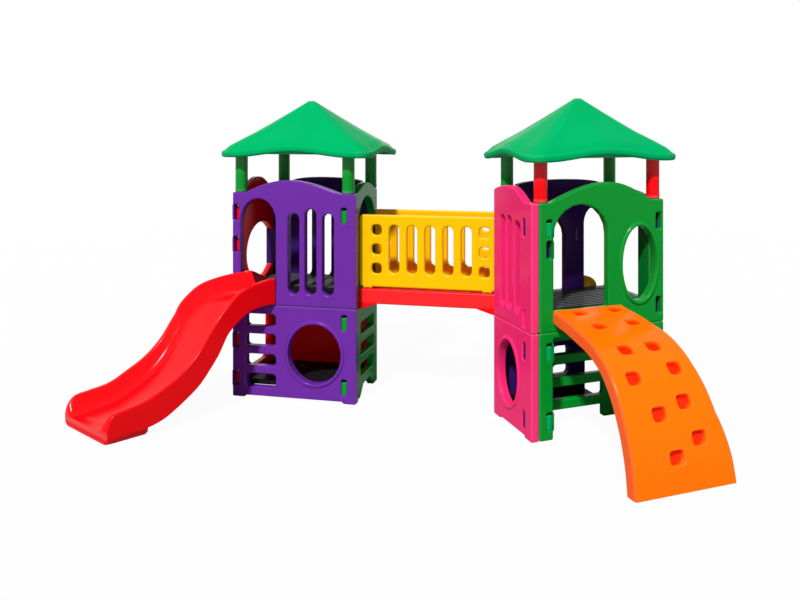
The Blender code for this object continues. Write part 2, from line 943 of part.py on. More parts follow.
# Hand and foot pockets: distance along the face, and place across the tower's front
pocket_spots = (
    (0.075, 0.34),
    (0.075, 0.665),
    (0.335, 0.361),
    (0.325, 0.665),
    (0.672, 0.38),
    (0.667, 0.62),
    (0.912, 0.326),
    (0.875, 0.685),
    (1.175, 0.437),
    (1.115, 0.66),
    (1.465, 0.508),
    (1.362, 0.712),
)


def ramp_at(distance):
    """The point and the outward normal at a distance along the ramp's face."""
    points = [Vector(point) for point in ramp_face]
    for first, second in zip(points, points[1:]):
        length = (second - first).length
        if distance <= length or second is points[-1]:
            ahead = (second - first) / length
            return first + ahead * distance, Vector((-ahead.y, ahead.x))
        distance -= length


def ramp_normal(index):
    points = [Vector(point) for point in ramp_face]
    before = points[max(index - 1, 0)]
    after = points[min(index + 1, len(points) - 1)]
    ahead = (after - before).normalized()
    return Vector((-ahead.y, ahead.x))


def ramp(tower):
    """A curved climbing wall that leans on tower B's front and stands on the ground."""
    under = []
    for i, point in enumerate(ramp_face):
        inner = Vector(point) - ramp_normal(i) * ramp_thickness
        under.append((max(inner.x, 0.0), max(inner.y, 0.0)))
    under[0] = (0.0, ramp_face[0][1] - 1.3 * ramp_thickness)
    under[-1] = (ramp_face[-1][0] - ramp_thickness, 0.0)
    outline = [*ramp_face, *under[::-1]]
    shape = plate_shape([(-x, y) for x, y in outline], [], ramp_width)
    middle = (ramp_left + ramp_width / 2, -touch_gap, 0)
    body = new_object("climbing_ramp", shape, "orange", tower, middle, (math.pi / 2, 0, math.pi / 2))
    clear = 0.2
    right = ramp_left + ramp_width + clear
    cut = [(across, -out) for across, out in ramp_right_edge]
    cut = [(cut[0][0], clear), *cut, (cut[-1][0], cut[-1][1] - clear), (right, cut[-1][1] - clear)]
    cut.append((right, clear))
    height = ramp_face[0][1]
    shape = plate_shape(cut, [], height + clear)
    boolean(body, new_object("ramp_edge_cut", shape, None, tower, (0, 0, height / 2)))
    for i, (distance, across) in enumerate(pocket_spots):
        spot, normal = ramp_at(distance)
        lean = math.atan2(normal.x, normal.y)
        half = pocket_width / 2
        pocket = plate_shape(
            rounded(-half, half, -pocket_height / 2, pocket_height / 2, pocket_corner), [], 2 * pocket_depth
        )
        place = (across, -spot.x - touch_gap, spot.y)
        boolean(body, new_object(f"pocket_{i}", pocket, None, tower, place, (lean, 0, 0)))


def centre_on_origin():
    """Moves everything so that the middle of the bounding box stands over the origin."""
    bpy.context.view_layer.update()
    graph = bpy.context.evaluated_depsgraph_get()
    lows, highs = [], []
    for part in parts.objects:
        if part.type != "MESH":
            continue
        seen = part.evaluated_get(graph)
        corners = [seen.matrix_world @ vertex.co for vertex in seen.data.vertices]
        lows.append([min(corner[axis] for corner in corners) for axis in range(2)])
        highs.append([max(corner[axis] for corner in corners) for axis in range(2)])
    shift = [-(min(low) + max(high)) / 2 for low, high in zip(zip(*lows), zip(*highs))]
    for thing in bpy.data.objects:
        if thing.parent is None:
            thing.location.x += shift[0]
            thing.location.y += shift[1]
    print("moved by", shift)


def build():
    tower_a()
    tower = tower_b()
    bridge()
    slide()
    ramp(tower)
    centre_on_origin()


build()
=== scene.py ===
# Modular climbing frame, dressed for the picture. Each moulding takes its outline from the CAD frame.
import json
import math

import bmesh
import bpy
from mathutils import Matrix, Vector


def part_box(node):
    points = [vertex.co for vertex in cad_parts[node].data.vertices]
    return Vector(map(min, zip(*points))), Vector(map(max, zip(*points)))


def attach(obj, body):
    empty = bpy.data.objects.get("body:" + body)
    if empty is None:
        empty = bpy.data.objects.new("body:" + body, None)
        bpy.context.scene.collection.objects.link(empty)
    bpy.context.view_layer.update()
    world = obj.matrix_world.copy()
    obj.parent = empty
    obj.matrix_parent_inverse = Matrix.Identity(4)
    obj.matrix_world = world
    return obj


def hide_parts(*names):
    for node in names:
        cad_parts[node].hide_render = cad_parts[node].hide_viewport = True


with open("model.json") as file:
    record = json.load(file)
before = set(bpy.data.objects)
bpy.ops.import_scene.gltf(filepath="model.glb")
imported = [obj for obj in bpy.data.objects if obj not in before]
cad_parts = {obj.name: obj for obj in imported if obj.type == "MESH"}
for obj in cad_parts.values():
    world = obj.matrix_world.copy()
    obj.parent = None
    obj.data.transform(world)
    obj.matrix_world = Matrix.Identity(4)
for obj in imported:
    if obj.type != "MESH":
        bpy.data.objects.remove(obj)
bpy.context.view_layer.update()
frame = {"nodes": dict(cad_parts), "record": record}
print("frame loaded:", len(frame["nodes"]), "mouldings")

layout = {
    "shift": (-0.446909, 0.220601),  # from tower A's front right corner to the frame's origin
    "towerWidth": 1.186,
    "towerDepth": 0.793,
    "towerBCorner": (1.654, -0.494),
    "towerBTurn": 33.1,  # degrees
    "deckTop": 1.009,
}
shift = Vector((*layout["shift"], 0))
worldFrame = Matrix.Translation(shift)
towerA = Matrix.Translation(shift + Vector((-layout["towerWidth"], 0, 0)))
towerB = Matrix.Translation(shift + Vector((*layout["towerBCorner"], 0))) @ Matrix.Rotation(
    math.radians(layout["towerBTurn"]), 4, "Z"
)


# Materials

def linearFromHex(code):
    parts = [int(code[i : i + 2], 16) / 255 for i in (1, 3, 5)]
    return [c / 12.92 if c <= 0.04045 else ((c + 0.055) / 1.055) ** 2.4 for c in parts]


def addNode(tree, kind, settings=None, links=None):
    node = tree.nodes.new(kind)
    for key, value in (settings or {}).items():
        if isinstance(key, int) or key in node.inputs:
            node.inputs[key].default_value = value
        else:
            setattr(node, key, value)
    for key, source in (links or {}).items():
        tree.links.new(source, node.inputs[key])
    return node


def noise(tree, where, size, detail, roughness=0.5):
    settings = {"Scale": 1 / size, "Detail": detail, "Roughness": roughness}
    return addNode(tree, "ShaderNodeTexNoise", settings, {"Vector": where}).outputs["Fac"]


# Each side is a colour, or what another node gives
def mixed(tree, share, first, second):
    sides = {6: first, 7: second}
    plain = {key: (*side, 1) for key, side in sides.items() if isinstance(side, list)}
    linked = {key: side for key, side in sides.items() if key not in plain}
    return addNode(tree, "ShaderNodeMix", {"data_type": "RGBA", **plain}, {0: share, **linked}).outputs[2]


def ranged(tree, value, low, high, start=0.0, stop=1.0):
    settings = {"From Min": start, "From Max": stop, "To Min": low, "To Max": high}
    return addNode(tree, "ShaderNodeMapRange", settings, {"Value": value}).outputs[0]


def bumped(tree, height, strength, distance, links=None):
    settings = {"Strength": strength, "Distance": distance}
    return addNode(tree, "ShaderNodeBump", settings, {"Height": height, **(links or {})}).outputs[0]


mouldedFinish = {
    "ior": 1.51,  # polyethylene
    # how much each colour shines: the weathered roofs and the decks least
    "specular": {"roof_green": 0.01, "charcoal": 0.01, "red": 0.12, "purple": 0.14, "green": 0.12},
    "specularElse": 0.08,
    "roughness": 0.21,
    "roughnessSpread": 0.07,
    "blotchSize": 0.28,  # m, uneven pigment
    "blotchDetail": 4.0,
    "blotchRoughness": 0.6,
    "blotchShade": 0.1,
    "skinSize": 0.005,  # m, orange peel of 2 mm, drawn coarser so that it shows
    "skinDetail": 2.0,
    "skinDepth": 0.00012,
    "skinStrength": 0.5,
    "swellSize": 0.14,  # m, the slow waves of a skin that shrank on cooling
    "swellDetail": 1.0,
    "swellDepth": 0.0016,
    "swellStrength": 0.6,
    "rubAndHighlightShade": 0.34,  # how much paler the plastic is painted on sharp edges: wear, and a painted highlight
    "rubAndHighlightWhite": 0.5,  # and how far towards white it is
    "rubAndHighlightFrom": 0.525,  # the sharpness at which the pale edge starts, 0.5 being flat
    "rubAndHighlightTo": 0.62,
    "paintedShadePower": 2.2,  # how much deeper the colour is painted in a recess, as painted shade
}


# Rotomoulded polyethylene: a deep colour under a satin skin, a little uneven, painted deeper in recesses as
# painted shade, and paler on sharp edges as wear and a painted highlight
def rotomouldedPolyethylene(name, colour, specular):
    finish = mouldedFinish
    made = bpy.data.materials.new("rotomouldedPolyethylene_" + name)
    made.use_nodes = True
    tree = made.node_tree
    surface = tree.nodes["Principled BSDF"]
    base = linearFromHex(colour)
    surface.inputs["IOR"].default_value = finish["ior"]
    surface.inputs["Specular IOR Level"].default_value = specular
    where = addNode(tree, "ShaderNodeTexCoord").outputs["Object"]
    blotch = noise(tree, where, finish["blotchSize"], finish["blotchDetail"], finish["blotchRoughness"])
    skin = noise(tree, where, finish["skinSize"], finish["skinDetail"])
    swell = noise(tree, where, finish["swellSize"], finish["swellDetail"])
    tone = mixed(tree, blotch, [c * (1 - finish["blotchShade"]) for c in base], base)
    # Painted shade: where light would bounce between walls of one colour in a recess, the colour is painted
    # deeper
    paintedShade = addNode(tree, "ShaderNodeAttribute", {"attribute_name": "paintedShade"}).outputs["Fac"]
    tone = mixed(tree, paintedShade, tone, [c ** finish["paintedShadePower"] for c in base])
    # Sharp edges are painted pale: partly wear from hands and feet, partly a painted highlight
    edge = addNode(tree, "ShaderNodeNewGeometry").outputs["Pointiness"]
    rubbedAndHighlit = ranged(tree, edge, 0.0, finish["rubAndHighlightShade"], finish["rubAndHighlightFrom"], finish["rubAndHighlightTo"])
    wornAndHighlit = mixed(tree, rubbedAndHighlit, tone, [c + (1 - c) * finish["rubAndHighlightWhite"] for c in base])
    tree.links.new(wornAndHighlit, surface.inputs["Base Color"])
    low = finish["roughness"] - finish["roughnessSpread"] / 2
    tree.links.new(ranged(tree, blotch, low, low + finish["roughnessSpread"]), surface.inputs["Roughness"])
    wave = bumped(tree, swell, finish["swellStrength"], finish["swellDepth"])
    peel = bumped(tree, skin, finish["skinStrength"], finish["skinDepth"], {"Normal": wave})
    tree.links.new(peel, surface.inputs["Normal"])
    made.diffuse_color = (*base, 1)
    return made


colours = {
    "roof_green": "#00AB62",
    "green": "#00932C",
    "dark_green": "#00782A",
    "purple": "#6A2A9F",
    # dark_purple is the purple in shade, a darker copy of it as painted shade
    "dark_purple": "#3B1A66",
    "pink": "#F82A74",
    "red": "#FA0410",
    "orange": "#FF7400",
    "yellow": "#FFC400",
    "charcoal": "#1B1A1E",
}
plastics = {}
for slot, code in colours.items():
    shine = mouldedFinish["specular"].get(slot, mouldedFinish["specularElse"])
    plastics[slot] = rotomouldedPolyethylene(slot, code, shine)
slotOfNode = {part["node"]: part["material_slot"] for part in frame["record"]["subparts"]}
print("plastics mixed:", len(plastics))


# Making and finishing meshes

making = {
    "weld": 2e-5,  # m, points closer than this are one
    "flatWeight": 60,  # how strongly large flat faces hold their shading
    "cornerShare": 0.45,  # a rounding takes at most this much of the line beside it
    "flatNormal": 0.999,  # a face whose normal lies this near the axis counts as flat
    "straightTurn": 0.003,  # radians, less is a straight line
    "cornerSteps": 4,
    "leastCorner": 25,  # degrees, less is left as it is
    "rollSteps": 3,
}


def finishPiece(name, shape, slot, nodeName=None):
    bmesh.ops.remove_doubles(shape, verts=shape.verts, dist=making["weld"])
    bmesh.ops.recalc_face_normals(shape, faces=shape.faces)
    for face in shape.faces:
        face.smooth = True
    mesh = bpy.data.meshes.new(name)
    shape.to_mesh(mesh)
    shape.free()
    mesh.materials.append(plastics[slot])
    piece = bpy.data.objects.new(name, mesh)
    bpy.context.scene.collection.objects.link(piece)
    even = piece.modifiers.new("flat faces stay flat", "WEIGHTED_NORMAL")
    even.keep_sharp = True
    even.weight = making["flatWeight"]
    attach(piece, "root")
    if nodeName:
        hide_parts(nodeName)
    return piece


def vectors(points):
    return [Vector(point) for point in points]


def heading(angle):
    return Vector((math.cos(angle), math.sin(angle)))


def loft(rings, ringLoop=False):
    shape = bmesh.new()
    loops = [[shape.verts.new(point) for point in ring] for ring in rings]
    pairs = list(zip(loops, loops[1:])) + ([(loops[-1], loops[0])] if ringLoop else [])
    for first, second in pairs:
        for i in range(len(first)):
            j = (i + 1) % len(first)
            shape.faces.new((first[i], first[j], second[j], second[i]))
    if not ringLoop:
        shape.faces.new(loops[0][::-1])
        shape.faces.new(loops[-1])
    return shape


# Rounds the corners of a closed outline, each with as many points, so that sections can be lofted
def filletLoop(points, radii, steps=4, leastTurn=0.0):
    made = []
    count = len(points)
    for i in range(count):
        corner = Vector(points[i])
        before = Vector(points[i - 1]) - corner
        after = Vector(points[(i + 1) % count]) - corner
        radius = radii[i] if isinstance(radii, (list, tuple)) else radii
        between = before.angle(after)
        if math.pi - between < leastTurn or radius <= 0:
            made.append(corner)
            continue
        share = making["cornerShare"]
        reach = min(radius / math.tan(between / 2), share * before.length, share * after.length)
        start = corner + before.normalized() * reach
        stop = corner + after.normalized() * reach
        for k in range(steps + 1):
            t = k / steps
            made.append(start * (1 - t) ** 2 + corner * (2 * t * (1 - t)) + stop * t**2)
    return made


# Reads the outline and the holes of a flat CAD moulding from its plainer face
def traceFace(nodeName, local):
    shape = bmesh.new()
    shape.from_mesh(frame["nodes"][nodeName].data)
    shape.transform(local.inverted())
    bmesh.ops.remove_doubles(shape, verts=shape.verts, dist=making["weld"])
    levels = {}
    for face in shape.faces:
        if abs(face.normal.z) > making["flatNormal"]:
            key = (face.normal.z > 0, round(face.calc_center_median().z, 3))
            levels.setdefault(key, []).append(face)
    area = {key: sum(face.calc_area() for face in faces) for key, faces in levels.items()}
    front = max((key for key in area if key[0]), key=area.get)
    back = max((key for key in area if not key[0]), key=area.get)
    plainer = front if area[front] > area[back] else back
    chosen = set(levels[plainer])
    follow = {}
    for face in chosen:
        for loop in face.loops:
            if sum(other in chosen for other in loop.edge.link_faces) == 1:
                follow[loop.vert] = loop.link_loop_next.vert
    loops = []
    while follow:
        start, vert = follow.popitem()
        ring = [start]
        while vert is not start:
            ring.append(vert)
            vert = follow.pop(vert)
        loops.append([Vector(v.co[:2]) for v in ring])
    shape.free()
    return [straightened(loop) for loop in loops], front[1], back[1]


def straightened(loop):
    kept = []
    for i, point in enumerate(loop):
        before, after = point - loop[i - 1], loop[(i + 1) % len(loop)] - point
        apart = min(before.length, after.length) > making["weld"] / 2
        if apart and before.angle(after) > making["straightTurn"]:
            kept.append(point)
    return kept


# A flat moulding with every edge rolled over: its outer corners, its doorways and its slots
def rolledPlate(name, loops, top, bottom, local, slot, nodeName, radius, corner):
    curve = bpy.data.curves.new(name, "CURVE")
    curve.dimensions = "2D"
    curve.fill_mode = "BOTH"
    curve.bevel_depth = radius
    curve.bevel_resolution = making["rollSteps"]
    curve.extrude = (top - bottom) / 2 - radius
    curve.offset = -radius
    for loop in loops:
        soft = filletLoop(loop, corner, making["cornerSteps"], math.radians(making["leastCorner"]))
        spline = curve.splines.new("POLY")
        spline.points.add(len(soft) - 1)
        for point, (x, y) in zip(spline.points, soft):
            point.co = (x, y, 0, 1)
        spline.use_cyclic_u = True
    sketch = bpy.data.objects.new(name + "Sketch", curve)
    bpy.context.scene.collection.objects.link(sketch)
    mesh = bpy.data.meshes.new_from_object(sketch)
    shape = bmesh.new()
    shape.from_mesh(mesh)
    bpy.data.objects.remove(sketch)
    bpy.data.meshes.remove(mesh)
    shape.transform(local @ Matrix.Translation((0, 0, (top + bottom) / 2)))
    return finishPiece(name, shape, slot, nodeName)


upright = Matrix.Rotation(math.pi / 2, 4, "X")  # across, up, and out of the front
sideways = Matrix.Rotation(math.pi / 2, 4, "Z") @ upright  # across the depth, up, and out to the right


def smoothStep(low, high, value):
    t = min(max((value - low) / (high - low), 0), 1)
    return t * t * (3 - 2 * t)


# Tower A's left window runs on to the back panel, which closes it there
def openAtRear(loops):
    outer, hole = sorted(loops, key=lambda loop: -max(p.x for p in loop))
    nearly = 1e-4  # m
    rear, edge = max(p.x for p in hole) - nearly, max(p.x for p in outer)
    ends = sorted((p.y, i) for i, p in enumerate(hole) if p.x > rear)
    low, high = ends[0][1], ends[-1][1]
    following = (low + 1) % len(hole)
    step = -1 if following == high or hole[following].x > rear else 1
    arc = [Vector((edge, hole[low].y))]
    at = (low + step) % len(hole)
    while at != high:
        arc.append(hole[at])
        at = (at + step) % len(hole)
    arc.append(Vector((edge, hole[high].y)))
    for i, (first, second) in enumerate(zip(outer, outer[1:] + outer[:1])):
        bottom, top = sorted((first.y, second.y))
        if min(first.x, second.x) > edge - nearly and bottom < arc[0].y and top > arc[-1].y:
            return [outer[: i + 1] + (arc if second.y > first.y else arc[::-1]) + outer[i + 1 :]]
    return loops


def plateFromNode(nodeName, local, radius, corner):
    loops, top, bottom = traceFace(nodeName, local)
    loops = openAtRear(loops) if nodeName == "a_left_upper" else loops
    return rolledPlate("moulded_" + nodeName, loops, top, bottom, local, slotOfNode[nodeName], nodeName,
                       radius, corner)


# Tops that swell more than the CAD's: start, peak, stop and rise of the hump, its fullness there and here
fullerTops = {
    "a_back_upper": (0.253, 0.6, 1.034, 0.1, 0.5, 0.2),
    "b_back_upper": (0.147, 0.6, 1.059, 0.13, 0.4, 0.16),
}
topShape = {"shoulder": 1.87, "from": 1.8}


def fillTop(piece, local, start, peak, stop, rise, before, after):
    back = local.inverted()
    for vertex in piece.data.vertices:
        spot = back @ vertex.co
        turn = min((spot.x - start) / (peak - start), (stop - spot.x) / (stop - peak))
        if spot.y <= topShape["from"] or turn <= 0:
            continue
        swell = math.sin(math.pi / 2 * min(turn, 1))
        old = topShape["shoulder"] + rise * swell**before
        share = min((spot.y - topShape["from"]) / (old - topShape["from"]), 1)
        vertex.co.z += rise * (swell**after - swell**before) * share


walls = {"edgeRoll": 0.013, "cornerRound": 0.016, "railRoll": 0.014, "keyRoll": 0.006, "deckRoll": 0.008}
for prefix, tower in (("a", towerA), ("b", towerB)):
    for side in ("front", "back"):
        for level in ("upper", "lower"):
            nodeName = f"{prefix}_{side}_{level}"
            piece = plateFromNode(nodeName, tower @ upright, walls["edgeRoll"], walls["cornerRound"])
            if nodeName in fullerTops:
                fillTop(piece, tower @ upright, *fullerTops[nodeName])
    for side in ("left", "right"):
        for level in ("upper", "lower"):
            nodeName = f"{prefix}_{side}_{level}"
            plateFromNode(nodeName, tower @ sideways, walls["edgeRoll"], walls["cornerRound"])
    for plate in ("deck", "floor"):
        plateFromNode(f"{prefix}_{plate}", tower, walls["deckRoll"], walls["deckRoll"])
for name in frame["nodes"]:
    if "_key_" in name:
        tower = towerA if name.startswith("a_") else towerB
        plateFromNode(name, tower @ upright, walls["keyRoll"], walls["keyRoll"])
plateFromNode("b_inner_ladder", towerB @ upright, walls["edgeRoll"], walls["cornerRound"])
plateFromNode("b_back_guard", towerB @ upright, walls["edgeRoll"], walls["cornerRound"])
plateFromNode("bridge_rail_front", worldFrame @ upright, walls["railRoll"], walls["cornerRound"])
plateFromNode("bridge_rail_back", worldFrame @ upright, walls["railRoll"], walls["cornerRound"])
print("walls, keys, decks and rails moulded")


# The key slots are pockets, so each has a back; most backs are a dark sheet in dark purple, painted shade
# inside the slot
shadedSlotBacks = {
    "size": (0.054, 0.146),
    "thickness": 0.012,
    "slotHeight": 0.14,
    "roll": 0.002,
    "corner": 0.004,
    "pinkOut": 0.05,  # how far the pink panel stands out of tower B
    # across, bottom, how deep it lies, and in what colour; dark purple is painted shade
    "a": ((1.075, 1.605, 0.066, "dark_purple"), (1.075, 0.65, 0.066, "dark_purple"),
          (1.075, 0.075, 0.066, "dark_purple")),
    "b": ((0.114, 1.597, 0.066, "dark_purple"), (0.114, 1.43, 0.05, "dark_purple"),
          (0.114, 0.622, 0.066, "dark_purple"), (0.114, 0.078, 0.066, "dark_purple"),
          (1.135, 1.617, 0.05, "dark_purple"), (1.135, 0.917, 0.05, "dark_purple")),
    "pink": ((-0.135, 1.6, 0.012, "dark_purple"), (-0.135, 0.87, 0.02, "pink"),
             (-0.135, 0.615, 0.012, "dark_purple"), (-0.14, 0.07, 0.012, "dark_purple")),
}
outerPink = towerB @ Matrix.Translation((-shadedSlotBacks["pinkOut"], 0, 0))
outerPink = outerPink @ Matrix.Rotation(-math.pi / 2, 4, "Z") @ upright
for wall, local in (("a", towerA @ upright), ("b", towerB @ upright), ("pink", outerPink)):
    for index, (across, bottom, deep, slot) in enumerate(shadedSlotBacks[wall]):
        width, height = shadedSlotBacks["size"]
        left, low = across - width / 2, bottom - (height - shadedSlotBacks["slotHeight"]) / 2
        right, high = left + width, low + height
        loop = vectors(((left, low), (right, low), (right, high), (left, high)))
        rolledPlate(f"{wall}_slot_back_{index}", [loop], -deep, -deep - shadedSlotBacks["thickness"], local, slot,
                    None, shadedSlotBacks["roll"], shadedSlotBacks["corner"])
print("slots backed")


# Raised rims round the portholes and the oval window
rims = {
    # where, centre, half width and half height, the wall's face, which way is out, colour
    "a_porthole_rim": (towerA @ upright, (0.797, 0.428), (0.25, 0.268), 0.0, 1, "purple"),
    "b_window_rim": (towerB @ upright, (0.946, 1.345), (0.165, 0.31), 0.0, 1, "green"),
    "b_porthole_rim": (towerB @ sideways, (0.42, 0.437), (0.19, 0.268), -0.05, -1, "pink"),
}
rimShape = {
    "width": 0.035,
    "height": 0.014,
    "crown": 0.62,  # the share of the width that is flat
    "sink": 0.03,
    "outerSink": 0.4,
    "inset": 0.001,
    "rounds": (0, 0.011, 0.012, 0.004, 0),
    "roundSteps": 5,
    "turns": 96,
}


def rim(name, local, centre, size, face, outward, slot):
    s = rimShape
    width, height, sink = s["width"], s["height"], s["sink"]
    outline = vectors(((s["inset"], -sink), (s["inset"], height), (width * s["crown"], height),
                       (width, 0.0), (width, -sink * s["outerSink"])))
    section = filletLoop(outline, s["rounds"], s["roundSteps"])
    rings = []
    for i in range(s["turns"]):
        direction = heading(2 * math.pi * i / s["turns"])
        ring = []
        for away, out in section:
            x = centre[0] + (size[0] + away) * direction.x
            y = centre[1] + (size[1] + away) * direction.y
            ring.append(local @ Vector((x, y, face + outward * out)))
        rings.append(ring)
    return finishPiece(name, loft(rings, ringLoop=True), slot)


for name, (local, centre, size, face, outward, slot) in rims.items():
    rim(name, local, centre, size, face, outward, slot)
print("rims raised")


# Anti-slip ribs on the decks
deckRibs = {
    "across": (0.13, 1.06),
    "along": (0.1, 0.69),
    "pitch": 0.05,
    "width": 0.02,
    "height": 0.004,
    "round": 0.45,  # of the height
}


def ribs(name, tower):
    shape = bmesh.new()
    (left, right), (front, back), height = deckRibs["across"], deckRibs["along"], deckRibs["height"]
    count = int((back - front) / deckRibs["pitch"])
    for i in range(count):
        middle = front + (i + 0.5) * (back - front) / count
        size = Matrix.Diagonal((right - left, deckRibs["width"], height, 1))
        spot = Matrix.Translation(((left + right) / 2, middle, layout["deckTop"] + height / 2))
        bmesh.ops.create_cube(shape, size=1, matrix=spot @ size)
    offset = height * deckRibs["round"]
    bmesh.ops.bevel(shape, geom=shape.edges[:], offset=offset, segments=2, affect="EDGES")
    shape.transform(tower)
    return finishPiece(name, shape, "charcoal")


for prefix, tower in (("a", towerA), ("b", towerB)):
    ribs(prefix + "_deck_ribs", tower)
print("decks ribbed")


# Roofs: four curved slopes, a flat band along each hip, and a deep rolled lip that waves along each side
roofShape = {
    "stretchA": 0.045,  # tower A's roof is this much wider
    "apex": 2.73,
    "tip": 2.258,
    "overhang": 0.105,
    "lip": 0.066,
    "eaveRise": 0.05,
    "waveReach": 0.8,
    "wavePower": 1.5,
    "corner": 0.13,
    "sag": 0.08,
    "bandEnd": (0.5, 0.8),  # where the flat band turns into the round corner
    "soffit": 2.223,
    "peakShare": 0.035,
    "slopeShares": (0.08, 0.14, 0.22, 0.32, 0.42, 0.5, 0.57, 0.64, 0.71, 0.78, 0.85, 0.91),
    "lipDip": 0.004,
    "lipRoll": 0.024,
    "lipInner": (0.972, 0.6),  # share, and inset in rolls
    "soffitShares": (0.95, 0.72),
    "ceilingShares": (0.7, 0.3),
    "ceilingDrop": 0.044,
    "crease": 14,  # degrees, a sharper fold keeps its edge
    "rollTurns": range(0, 91, 15),
    "cornerSteps": 10,
    "sideSteps": 28,
}


def roofPiece(nodeName, tower, stretch):
    s = roofShape
    half = ((layout["towerWidth"] + stretch) / 2 + s["overhang"], layout["towerDepth"] / 2 + s["overhang"])
    centre = Vector(((layout["towerWidth"] + stretch) / 2, layout["towerDepth"] / 2, 0))
    corners = ((1, -1, -90), (1, 1, 0), (-1, 1, 90), (-1, -1, 180))

    def ring(share, drop=0.0, level=None, inset=0.0):
        made = []
        flat = 1 - smoothStep(*s["bandEnd"], share)
        radius = s["corner"]
        for index, (signX, signY, startAngle) in enumerate(corners):
            middle = Vector((signX * (half[0] - radius), signY * (half[1] - radius)))
            ends = [middle + radius * heading(math.radians(a)) for a in (startAngle, startAngle + 90)]
            for k in range(s["cornerSteps"] + 1):
                t = k / s["cornerSteps"]
                outward = heading(math.radians(startAngle + 90 * t))
                rounded = middle + radius * outward
                made.append((rounded.lerp(ends[0].lerp(ends[1], t), flat), outward))
            nextX, nextY, nextAngle = corners[(index + 1) % 4]
            nextMiddle = Vector((nextX * (half[0] - radius), nextY * (half[1] - radius)))
            outward = heading(math.radians(nextAngle))
            for k in range(1, s["sideSteps"]):
                made.append((ends[1].lerp(nextMiddle + radius * outward, k / s["sideSteps"]), outward))
        spots = []
        for point, outward in made:
            along = min(min(abs(point.x) / half[0], abs(point.y) / half[1]) / s["waveReach"], 1)
            arch = s["eaveRise"] * math.cos(math.pi / 2 * along) ** 2 * share ** s["wavePower"]
            height = s["apex"] - (s["apex"] - s["tip"]) * share * (1 + s["sag"] - s["sag"] * share) + arch
            height = level if level is not None else height - drop
            spot = point * share - outward * inset
            spots.append(tower @ (centre + Vector((*spot, height))))
        return spots

    roll = s["lipRoll"]
    angles = [math.radians(turn) for turn in s["rollTurns"]]
    rings = [ring(share) for share in (s["peakShare"], *s["slopeShares"])]
    curls = [(roll * (1 - math.sin(angle)), roll * (1 - math.cos(angle))) for angle in angles]
    rings += [ring(1.0, s["lipDip"] + inner, inset=outer) for outer, inner in curls]
    rings += [ring(1.0, s["lip"] - outer, inset=inner) for outer, inner in curls]
    rings.append(ring(s["lipInner"][0], s["lip"], inset=roll * s["lipInner"][1]))
    rings += [ring(share, level=s["soffit"]) for share in s["soffitShares"]]
    rings += [ring(share, s["ceilingDrop"]) for share in (*s["ceilingShares"], s["peakShare"])]
    shape = loft(rings)
    for edge in shape.edges:
        if len(edge.link_faces) == 2 and edge.calc_face_angle(0) > math.radians(s["crease"]):
            edge.smooth = False
    return finishPiece("moulded_" + nodeName, shape, "roof_green", nodeName)


roofPiece("a_roof", towerA, roofShape["stretchA"])
roofPiece("b_roof", towerB, 0.0)
print("roofs raised")


# Round posts, a little slimmer above a collar at the foot
postShape = {"collar": 0.002, "collarHeight": 0.03, "collarSlope": 0.006, "roll": 0.006, "turns": 40}
for name in frame["nodes"]:
    if "_post_" not in name:
        continue
    low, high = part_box(name)
    centre = (low + high) / 2
    radius, roll = (high.x - low.x) / 2, postShape["roll"]
    slim, collarTop = radius - postShape["collar"], low.z + postShape["collarHeight"]
    profile = [(radius - roll, low.z), (radius, low.z + roll), (radius, collarTop),
               (slim, collarTop + postShape["collarSlope"]), (slim, high.z - roll), (radius - roll, high.z)]
    turns = [2 * math.pi * i / postShape["turns"] for i in range(postShape["turns"])]
    rings = [[Vector((centre.x + r * math.cos(turn), centre.y + r * math.sin(turn), z)) for turn in turns]
             for r, z in profile]
    finishPiece("turned_" + name, loft(rings), slotOfNode[name], name)
print("posts set")


# The bridge deck with a bracket under each end
bridge = {
    "edgeRoll": 0.014,
    "under": 0.874,
    "left": -0.019,
    "right": 1.233,
    "bracketLength": 0.17,
    "bracketDrop": 0.055,
    "bracketSunk": 0.02,  # how far the bracket reaches up into the deck
    "bracketTip": 0.002,
    "bracketFront": 0.136,
    "bracketDepth": 0.2,
    "bracketRoll": 0.008,
    "bracketCorner": 0.01,
}
plateFromNode("bridge_deck", worldFrame, bridge["edgeRoll"], bridge["edgeRoll"])
for name, root, tip in (("a", bridge["left"], bridge["left"] + bridge["bracketLength"]),
                        ("b", bridge["right"], bridge["right"] - bridge["bracketLength"])):
    low, top = bridge["under"] - bridge["bracketDrop"], bridge["under"] + bridge["bracketSunk"]
    wedge = vectors(((root, low), (root, top), (tip, top), (tip, bridge["under"] - bridge["bracketTip"])))
    near, far = -bridge["bracketFront"], -bridge["bracketFront"] - bridge["bracketDepth"]
    rolledPlate("bridge_bracket_" + name, [wedge], near, far, worldFrame @ upright, "red", None,
                bridge["bracketRoll"], bridge["bracketCorner"])
print("bridge laid")


# Curves through stations, for the slide and the ramp
def through(points, position):
    position = min(max(position, 0), len(points) - 1)
    i = min(int(position), len(points) - 2)
    t = position - i
    p = [Vector(points[max(0, min(len(points) - 1, k))]) for k in (i - 1, i, i + 1, i + 2)]
    return 0.5 * (2 * p[1] + (p[2] - p[0]) * t + (2 * p[0] - 5 * p[1] + 4 * p[2] - p[3]) * t**2
                  + (3 * p[1] - p[0] - 3 * p[2] + p[3]) * t**3)


